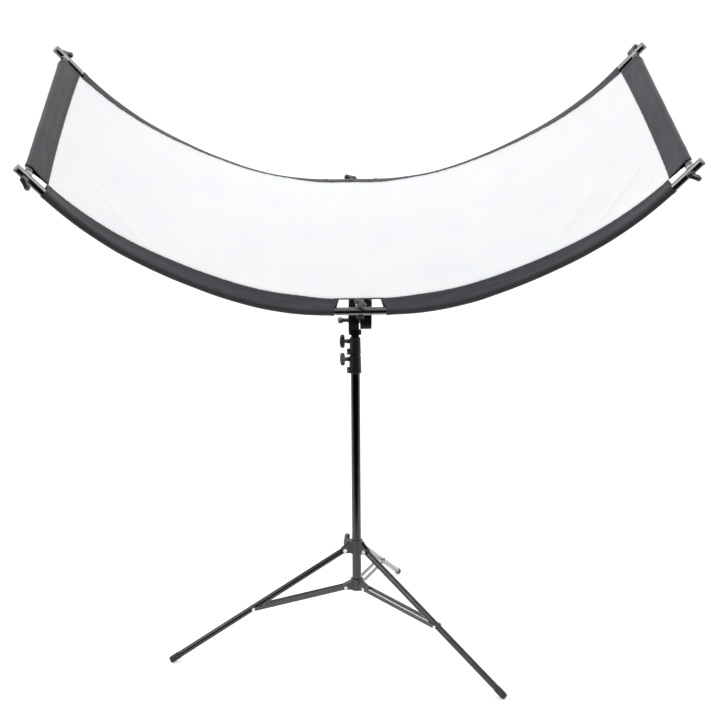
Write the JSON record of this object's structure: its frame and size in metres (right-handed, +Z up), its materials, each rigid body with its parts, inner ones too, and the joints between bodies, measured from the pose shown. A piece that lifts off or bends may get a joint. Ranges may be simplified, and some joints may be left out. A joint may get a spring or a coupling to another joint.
{
  "type": "curved reflector on a folding light stand",
  "caption": "Curved silver-white fabric reflector in a bolted tube frame, on a tilting bracket over a telescopic folding light stand.",
  "frame": {"origin": "on the floor, under the column's axis", "axes": "+Z up, +X to the operator's right, the reflector's low edge towards -Y"},
  "size_m": [1.5198, 1.026, 1.6119],
  "materials": {
    "black_tube": "satin black anodised",
    "frame_tube": "satin black anodised",
    "black_nylon": "fine moulded grain",
    "knob_plastic": "moulded",
    "strap_steel": "satin black paint",
    "bright_rivet": "bright",
    "zinc_screw": "zinc plated",
    "foot_rubber": "matt",
    "cap_plastic": "light grey moulded",
    "glide_plastic": "natural nylon",
    "silver_fabric": "silver-white satin",
    "sleeve_fabric": "charcoal nylon weave"
  },
  "bodies": {
    "stand": {"column_tube": "black_tube", "spider_casting": "black_nylon", "spider_rivets": "bright_rivet", "lower_collar": "black_nylon", "lower_collar_screw": "zinc_screw"},
    "hub": {"hub_casting": "black_nylon", "leg_rivets": "bright_rivet", "hub_bolt": "zinc_screw"},
    "leg_1": {"leg_tube_1": "black_tube", "leg_plug_1": "black_nylon", "foot_cap_1": "foot_rubber"},
    "leg_2": {"leg_tube_2": "black_tube", "leg_plug_2": "black_nylon", "foot_cap_2": "foot_rubber"},
    "leg_3": {"leg_tube_3": "black_tube", "leg_plug_3": "black_nylon", "foot_cap_3": "foot_rubber"},
    "brace_1": {"brace_straps_1": "strap_steel", "brace_rivets_1": "bright_rivet"},
    "brace_2": {"brace_straps_2": "strap_steel", "brace_rivets_2": "bright_rivet"},
    "brace_3": {"brace_straps_3": "strap_steel", "brace_rivets_3": "bright_rivet"},
    "mid_section": {"mid_tube": "black_tube", "mid_glide": "glide_plastic", "upper_collar": "black_nylon", "upper_collar_screw": "zinc_screw"},
    "top_section": {"top_tube": "black_tube", "top_glide": "glide_plastic", "spigot": "bright_rivet"},
    "head": {"tilt_head": "black_nylon", "friction_washer": "glide_plastic"},
    "reflector": {"tilt_arm": "black_nylon", "tilt_nut": "zinc_screw", "crossbar_clamp_cap": "black_nylon", "crossbar_clamp_screws": "zinc_screw", "centre_joiners": "frame_tube", "curved_rails": "frame_tube", "end_tubes": "frame_tube", "end_caps": "cap_plastic", "centre_crossbar": "frame_tube", "left_crossbar": "frame_tube", "right_crossbar": "frame_tube", "crossbar_saddles": "black_nylon", "reflector_panel": "silver_fabric", "hem_tapes": "sleeve_fabric", "front_sleeves": "sleeve_fabric", "rear_sleeves": "sleeve_fabric", "left_end_band": "sleeve_fabric", "right_end_band": "sleeve_fabric"},
    "lower_collar_knob": {"lower_collar_knob": "knob_plastic"},
    "upper_collar_knob": {"upper_collar_knob": "knob_plastic"},
    "hub_knob": {"hub_knob": "knob_plastic"},
    "tilt_knob": {"tilt_knob": "knob_plastic"},
    "centre_front_knob": {"centre_front_knob": "knob_plastic"},
    "centre_rear_knob": {"centre_rear_knob": "knob_plastic"},
    "left_front_knob": {"left_front_knob": "knob_plastic"},
    "left_rear_knob": {"left_rear_knob": "knob_plastic"},
    "right_front_knob": {"right_front_knob": "knob_plastic"},
    "right_rear_knob": {"right_rear_knob": "knob_plastic"}
  },
  "joints": [
    {"name": "hub_slide", "type": "slide", "parent": "stand", "child": "hub", "axis": [0, 0, 1], "range_m": [0, 0.44533]},
    {"name": "leg_1_fold", "type": "hinge", "parent": "hub", "child": "leg_1", "pos_m": [-0.03409, -0.00793, 0.267], "axis": [0.2267, -0.974, 0], "range_deg": [0, 58.66]},
    {"name": "leg_2_fold", "type": "hinge", "parent": "hub", "child": "leg_2", "pos_m": [0.02391, -0.02556, 0.267], "axis": [0.7302, 0.6833, 0], "range_deg": [0, 58.66]},
    {"name": "leg_3_fold", "type": "hinge", "parent": "hub", "child": "leg_3", "pos_m": [0.01018, 0.03349, 0.267], "axis": [-0.9568, 0.2907, 0], "range_deg": [0, 58.66]},
    {"name": "brace_1_fold", "type": "hinge", "parent": "stand", "child": "brace_1", "pos_m": [-0.03409, -0.00793, 0.161], "axis": [-0.2267, 0.974, 0], "range_deg": [0, 93.92]},
    {"name": "brace_2_fold", "type": "hinge", "parent": "stand", "child": "brace_2", "pos_m": [0.02391, -0.02556, 0.161], "axis": [-0.7302, -0.6833, 0], "range_deg": [0, 93.92]},
    {"name": "brace_3_fold", "type": "hinge", "parent": "stand", "child": "brace_3", "pos_m": [0.01018, 0.03349, 0.161], "axis": [0.9568, -0.2907, 0], "range_deg": [0, 93.92]},
    {"name": "mid_extend", "type": "slide", "parent": "stand", "child": "mid_section", "axis": [0, 0, 1], "range_m": [0, 0.52]},
    {"name": "top_extend", "type": "slide", "parent": "mid_section", "child": "top_section", "axis": [0, 0, 1], "range_m": [0, 0.52]},
    {"name": "head_pan", "type": "hinge", "parent": "top_section", "child": "head", "pos_m": [0, 0, 0.87], "axis": [0, 0, 1], "continuous": true},
    {"name": "reflector_tilt", "type": "hinge", "parent": "head", "child": "reflector", "pos_m": [0, 0, 0.902], "axis": [1, 0, 0], "range_deg": [-100, 60]},
    {"name": "lower_collar_knob_turn", "type": "hinge", "parent": "stand", "child": "lower_collar_knob", "pos_m": [-0.02, 0, 0.797], "axis": [-1, 0, 0], "continuous": true},
    {"name": "upper_collar_knob_turn", "type": "hinge", "parent": "mid_section", "child": "upper_collar_knob", "pos_m": [-0.02, 0, 0.8455], "axis": [-1, 0, 0], "continuous": true},
    {"name": "hub_knob_turn", "type": "hinge", "parent": "hub", "child": "hub_knob", "pos_m": [-0.0164, 0.01752, 0.283], "axis": [-0.6833, 0.7302, 0], "continuous": true},
    {"name": "tilt_knob_turn", "type": "hinge", "parent": "head", "child": "tilt_knob", "pos_m": [-0.017, 0, 0.902], "axis": [-1, 0, 0], "continuous": true},
    {"name": "centre_front_knob_turn", "type": "hinge", "parent": "reflector", "child": "centre_front_knob", "pos_m": [0, -0.32957, 0.99016], "axis": [0, -0.4446, 0.8957], "continuous": true},
    {"name": "centre_rear_knob_turn", "type": "hinge", "parent": "reflector", "child": "centre_rear_knob", "pos_m": [0, 0.22059, 1.25265], "axis": [0, 0.8957, 0.4446], "continuous": true},
    {"name": "left_front_knob_turn", "type": "hinge", "parent": "reflector", "child": "left_front_knob", "pos_m": [-0.7324, -0.4995, 1.31113], "axis": [0, -0.8957, -0.4446], "continuous": true},
    {"name": "left_rear_knob_turn", "type": "hinge", "parent": "reflector", "child": "left_rear_knob", "pos_m": [-0.7324, 0.05494, 1.58636], "axis": [0, 0.8957, 0.4446], "continuous": true},
    {"name": "right_front_knob_turn", "type": "hinge", "parent": "reflector", "child": "right_front_knob", "pos_m": [0.7324, -0.4995, 1.31113], "axis": [0, -0.8957, -0.4446], "continuous": true},
    {"name": "right_rear_knob_turn", "type": "hinge", "parent": "reflector", "child": "right_rear_knob", "pos_m": [0.7324, 0.05494, 1.58636], "axis": [0, 0.8957, 0.4446], "continuous": true}
  ],
  "couplings": [
    {"joint": "leg_1_fold", "follows": "hub_slide", "rad_per_m": 2.2984},
    {"joint": "leg_2_fold", "follows": "hub_slide", "rad_per_m": 2.2984},
    {"joint": "leg_3_fold", "follows": "hub_slide", "rad_per_m": 2.2984},
    {"joint": "brace_1_fold", "follows": "hub_slide", "rad_per_m": 3.6806},
    {"joint": "brace_2_fold", "follows": "hub_slide", "rad_per_m": 3.6806},
    {"joint": "brace_3_fold", "follows": "hub_slide", "rad_per_m": 3.6806}
  ]
}
